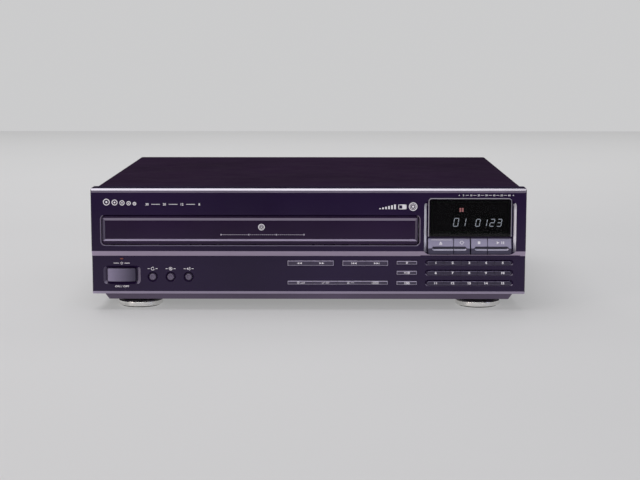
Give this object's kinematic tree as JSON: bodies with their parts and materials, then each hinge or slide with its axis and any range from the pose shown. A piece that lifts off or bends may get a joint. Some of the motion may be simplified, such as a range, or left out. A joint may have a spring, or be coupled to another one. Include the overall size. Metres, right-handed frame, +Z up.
{
  "type": "laserdisc player",
  "caption": "Full-width home player for large optical discs, with a motor-driven drawer, lit display window and rows of narrow keys.",
  "frame": {"origin": "centre of the footprint on the surface it stands on, under the middle of the bounding box", "axes": "+X to the right seen from the front, +Y to the rear (the front panel faces -Y), +Z up"},
  "size_m": [0.44, 0.4, 0.1252],
  "materials": {
    "panel_plastic": "satin moulded, very dark purple-black",
    "cover_paint": "fine textured dark paint",
    "chassis_paint": "satin dark paint",
    "window_plastic": "polished smoked black",
    "tube_glass": "dark glass",
    "board": "green circuit board with parts",
    "socket_plastic": "black moulded",
    "foot_rubber": "matt",
    "ring_metal": "bright silver",
    "screw_steel": "black zinc",
    "tray_plastic": "fine matt black",
    "gear_plastic": "natural acetal",
    "belt_rubber": "matt",
    "motor_steel": "plated can",
    "carriage_metal": "die cast",
    "frame_steel": "zinc plated sheet",
    "transformer_iron": "laminated core",
    "key_plastic": "satin moulded",
    "transport_plastic": "satin moulded, lighter",
    "button_plastic": "satin moulded, lighter"
  },
  "bodies": {
    "case": {"front_panel": "panel_plastic", "top_cover": "cover_paint", "rear_panel": "cover_paint", "base_chassis": "chassis_paint", "feet": "foot_rubber", "foot_rings": "ring_metal", "case_screws": "screw_steel", "display_window": "window_plastic", "display_tube": "tube_glass", "front_board": "board", "main_board": "board", "power_transformer": "transformer_iron", "rear_sockets": "socket_plastic", "power_inlet": "socket_plastic", "mechanism_frame": "frame_steel", "loading_motor": "motor_steel", "loading_belt": "belt_rubber"},
    "tray_unit": {"tray": "tray_plastic", "tray_door": "panel_plastic"},
    "drive_gear": {"drive_gear": "gear_plastic"},
    "motor_pulley": {"motor_pulley": "gear_plastic"},
    "pickup_unit": {"pickup_chassis": "frame_steel", "pickup_motors": "motor_steel"},
    "turntable": {"turntable": "gear_plastic"},
    "pickup_carriage": {"pickup_carriage": "carriage_metal"},
    "feed_gear": {"feed_gear": "gear_plastic"},
    "clamp_arm": {"clamp_arm": "frame_steel"},
    "clamper": {"clamper": "tray_plastic"},
    "number_key_01": {"number_key_01": "key_plastic"},
    "number_key_02": {"number_key_02": "key_plastic"},
    "number_key_03": {"number_key_03": "key_plastic"},
    "number_key_04": {"number_key_04": "key_plastic"},
    "number_key_05": {"number_key_05": "key_plastic"},
    "number_key_06": {"number_key_06": "key_plastic"},
    "number_key_07": {"number_key_07": "key_plastic"},
    "number_key_08": {"number_key_08": "key_plastic"},
    "number_key_09": {"number_key_09": "key_plastic"},
    "number_key_10": {"number_key_10": "key_plastic"},
    "number_key_11": {"number_key_11": "key_plastic"},
    "number_key_12": {"number_key_12": "key_plastic"},
    "number_key_13": {"number_key_13": "key_plastic"},
    "number_key_14": {"number_key_14": "key_plastic"},
    "number_key_15": {"number_key_15": "key_plastic"},
    "random_key": {"random_key": "key_plastic"},
    "plus_ten_key": {"plus_ten_key": "key_plastic"},
    "hundred_key": {"hundred_key": "key_plastic"},
    "display_key": {"display_key": "key_plastic"},
    "check_key": {"check_key": "key_plastic"},
    "clear_key": {"clear_key": "key_plastic"},
    "program_key": {"program_key": "key_plastic"},
    "open_close_key": {"open_close_key": "transport_plastic"},
    "disc_side_key": {"disc_side_key": "transport_plastic"},
    "stop_key": {"stop_key": "transport_plastic"},
    "play_pause_key": {"play_pause_key": "transport_plastic"},
    "repeat_button": {"repeat_button": "key_plastic"},
    "auto_button": {"auto_button": "key_plastic"},
    "monitor_button": {"monitor_button": "key_plastic"},
    "power_button": {"power_button": "button_plastic"},
    "search_rocker": {"search_rocker": "key_plastic"},
    "skip_rocker": {"skip_rocker": "key_plastic"}
  },
  "joints": [
    {"name": "tray_slide", "type": "slide", "parent": "case", "child": "tray_unit", "axis": [0, -1, 0], "range_m": [0, 0.29]},
    {"name": "drive_gear_spin", "type": "hinge", "parent": "case", "child": "drive_gear", "pos_m": [0.08125, -0.15, 0.07], "axis": [0, 0, 1], "range_deg": [-1500, 1500]},
    {"name": "motor_pulley_spin", "type": "hinge", "parent": "case", "child": "motor_pulley", "pos_m": [0.045, -0.15, 0.065], "axis": [0, 0, 1], "range_deg": [-7600, 7600]},
    {"name": "pickup_lift", "type": "hinge", "parent": "case", "child": "pickup_unit", "pos_m": [-0.0486, 0.16, 0.047], "axis": [1, 0, 0], "range_deg": [0, 3.6]},
    {"name": "clamp_lift", "type": "hinge", "parent": "case", "child": "clamp_arm", "pos_m": [-0.0486, 0.162, 0.099], "axis": [1, 0, 0], "range_deg": [-4.5, 0]},
    {"name": "turntable_spin", "type": "hinge", "parent": "pickup_unit", "child": "turntable", "pos_m": [-0.0486, -0.032, 0.078], "axis": [0, 0, 1], "continuous": true},
    {"name": "clamper_spin", "type": "hinge", "parent": "clamp_arm", "child": "clamper", "pos_m": [-0.0486, -0.032, 0.095], "axis": [0, 0, 1], "continuous": true},
    {"name": "pickup_slide", "type": "slide", "parent": "pickup_unit", "child": "pickup_carriage", "axis": [0, 1, 0], "range_m": [0, 0.121]},
    {"name": "feed_gear_spin", "type": "hinge", "parent": "pickup_unit", "child": "feed_gear", "pos_m": [0.0024, 0.038, 0.058], "axis": [0, 0, 1], "range_deg": [-760, 760]},
    {"name": "number_key_01_press", "type": "slide", "parent": "case", "child": "number_key_01", "axis": [0, 1, 0], "range_m": [0, 0.0007], "stiffness_N_per_m": 300, "springref_m": -0.0004},
    {"name": "number_key_02_press", "type": "slide", "parent": "case", "child": "number_key_02", "axis": [0, 1, 0], "range_m": [0, 0.0007], "stiffness_N_per_m": 300, "springref_m": -0.0004},
    {"name": "number_key_03_press", "type": "slide", "parent": "case", "child": "number_key_03", "axis": [0, 1, 0], "range_m": [0, 0.0007], "stiffness_N_per_m": 300, "springref_m": -0.0004},
    {"name": "number_key_04_press", "type": "slide", "parent": "case", "child": "number_key_04", "axis": [0, 1, 0], "range_m": [0, 0.0007], "stiffness_N_per_m": 300, "springref_m": -0.0004},
    {"name": "number_key_05_press", "type": "slide", "parent": "case", "child": "number_key_05", "axis": [0, 1, 0], "range_m": [0, 0.0007], "stiffness_N_per_m": 300, "springref_m": -0.0004},
    {"name": "number_key_06_press", "type": "slide", "parent": "case", "child": "number_key_06", "axis": [0, 1, 0], "range_m": [0, 0.0007], "stiffness_N_per_m": 300, "springref_m": -0.0004},
    {"name": "number_key_07_press", "type": "slide", "parent": "case", "child": "number_key_07", "axis": [0, 1, 0], "range_m": [0, 0.0007], "stiffness_N_per_m": 300, "springref_m": -0.0004},
    {"name": "number_key_08_press", "type": "slide", "parent": "case", "child": "number_key_08", "axis": [0, 1, 0], "range_m": [0, 0.0007], "stiffness_N_per_m": 300, "springref_m": -0.0004},
    {"name": "number_key_09_press", "type": "slide", "parent": "case", "child": "number_key_09", "axis": [0, 1, 0], "range_m": [0, 0.0007], "stiffness_N_per_m": 300, "springref_m": -0.0004},
    {"name": "number_key_10_press", "type": "slide", "parent": "case", "child": "number_key_10", "axis": [0, 1, 0], "range_m": [0, 0.0007], "stiffness_N_per_m": 300, "springref_m": -0.0004},
    {"name": "number_key_11_press", "type": "slide", "parent": "case", "child": "number_key_11", "axis": [0, 1, 0], "range_m": [0, 0.0007], "stiffness_N_per_m": 300, "springref_m": -0.0004},
    {"name": "number_key_12_press", "type": "slide", "parent": "case", "child": "number_key_12", "axis": [0, 1, 0], "range_m": [0, 0.0007], "stiffness_N_per_m": 300, "springref_m": -0.0004},
    {"name": "number_key_13_press", "type": "slide", "parent": "case", "child": "number_key_13", "axis": [0, 1, 0], "range_m": [0, 0.0007], "stiffness_N_per_m": 300, "springref_m": -0.0004},
    {"name": "number_key_14_press", "type": "slide", "parent": "case", "child": "number_key_14", "axis": [0, 1, 0], "range_m": [0, 0.0007], "stiffness_N_per_m": 300, "springref_m": -0.0004},
    {"name": "number_key_15_press", "type": "slide", "parent": "case", "child": "number_key_15", "axis": [0, 1, 0], "range_m": [0, 0.0007], "stiffness_N_per_m": 300, "springref_m": -0.0004},
    {"name": "random_key_press", "type": "slide", "parent": "case", "child": "random_key", "axis": [0, 1, 0], "range_m": [0, 0.0007], "stiffness_N_per_m": 300, "springref_m": -0.0004},
    {"name": "plus_ten_key_press", "type": "slide", "parent": "case", "child": "plus_ten_key", "axis": [0, 1, 0], "range_m": [0, 0.0007], "stiffness_N_per_m": 300, "springref_m": -0.0004},
    {"name": "hundred_key_press", "type": "slide", "parent": "case", "child": "hundred_key", "axis": [0, 1, 0], "range_m": [0, 0.0007], "stiffness_N_per_m": 300, "springref_m": -0.0004},
    {"name": "display_key_press", "type": "slide", "parent": "case", "child": "display_key", "axis": [0, 1, 0], "range_m": [0, 0.0007], "stiffness_N_per_m": 300, "springref_m": -0.0004},
    {"name": "check_key_press", "type": "slide", "parent": "case", "child": "check_key", "axis": [0, 1, 0], "range_m": [0, 0.0007], "stiffness_N_per_m": 300, "springref_m": -0.0004},
    {"name": "clear_key_press", "type": "slide", "parent": "case", "child": "clear_key", "axis": [0, 1, 0], "range_m": [0, 0.0007], "stiffness_N_per_m": 300, "springref_m": -0.0004},
    {"name": "program_key_press", "type": "slide", "parent": "case", "child": "program_key", "axis": [0, 1, 0], "range_m": [0, 0.0007], "stiffness_N_per_m": 300, "springref_m": -0.0004},
    {"name": "open_close_key_press", "type": "slide", "parent": "case", "child": "open_close_key", "axis": [0, 1, 0], "range_m": [0, 0.0009], "stiffness_N_per_m": 400, "springref_m": -0.0004},
    {"name": "disc_side_key_press", "type": "slide", "parent": "case", "child": "disc_side_key", "axis": [0, 1, 0], "range_m": [0, 0.0009], "stiffness_N_per_m": 400, "springref_m": -0.0004},
    {"name": "stop_key_press", "type": "slide", "parent": "case", "child": "stop_key", "axis": [0, 1, 0], "range_m": [0, 0.0009], "stiffness_N_per_m": 400, "springref_m": -0.0004},
    {"name": "play_pause_key_press", "type": "slide", "parent": "case", "child": "play_pause_key", "axis": [0, 1, 0], "range_m": [0, 0.0009], "stiffness_N_per_m": 400, "springref_m": -0.0004},
    {"name": "repeat_button_press", "type": "slide", "parent": "case", "child": "repeat_button", "axis": [0, 1, 0], "range_m": [0, 0.0009], "stiffness_N_per_m": 300, "springref_m": -0.0004},
    {"name": "auto_button_press", "type": "slide", "parent": "case", "child": "auto_button", "axis": [0, 1, 0], "range_m": [0, 0.0009], "stiffness_N_per_m": 300, "springref_m": -0.0004},
    {"name": "monitor_button_press", "type": "slide", "parent": "case", "child": "monitor_button", "axis": [0, 1, 0], "range_m": [0, 0.0009], "stiffness_N_per_m": 300, "springref_m": -0.0004},
    {"name": "power_button_press", "type": "slide", "parent": "case", "child": "power_button", "axis": [0, 1, 0], "range_m": [0, 0.0015], "stiffness_N_per_m": 500, "springref_m": -0.0004},
    {"name": "search_rocker_tilt", "type": "hinge", "parent": "case", "child": "search_rocker", "pos_m": [0.00215, -0.1904, 0.0493], "axis": [0, 0, 1], "range_deg": [-2.6, 2.6], "stiffness_Nm_per_rad": 0.12},
    {"name": "skip_rocker_tilt", "type": "hinge", "parent": "case", "child": "skip_rocker", "pos_m": [0.05765, -0.1904, 0.0493], "axis": [0, 0, 1], "range_deg": [-2.6, 2.6], "stiffness_Nm_per_rad": 0.12}
  ],
  "couplings": [
    {"joint": "drive_gear_spin", "follows": "tray_slide", "rad_per_m": 88.889},
    {"joint": "motor_pulley_spin", "follows": "tray_slide", "rad_per_m": 389.14},
    {"joint": "clamp_lift", "follows": "pickup_lift", "ratio": -1.25},
    {"joint": "clamper_spin", "follows": "turntable_spin", "ratio": 1},
    {"joint": "feed_gear_spin", "follows": "pickup_slide", "rad_per_m": -100}
  ]
}
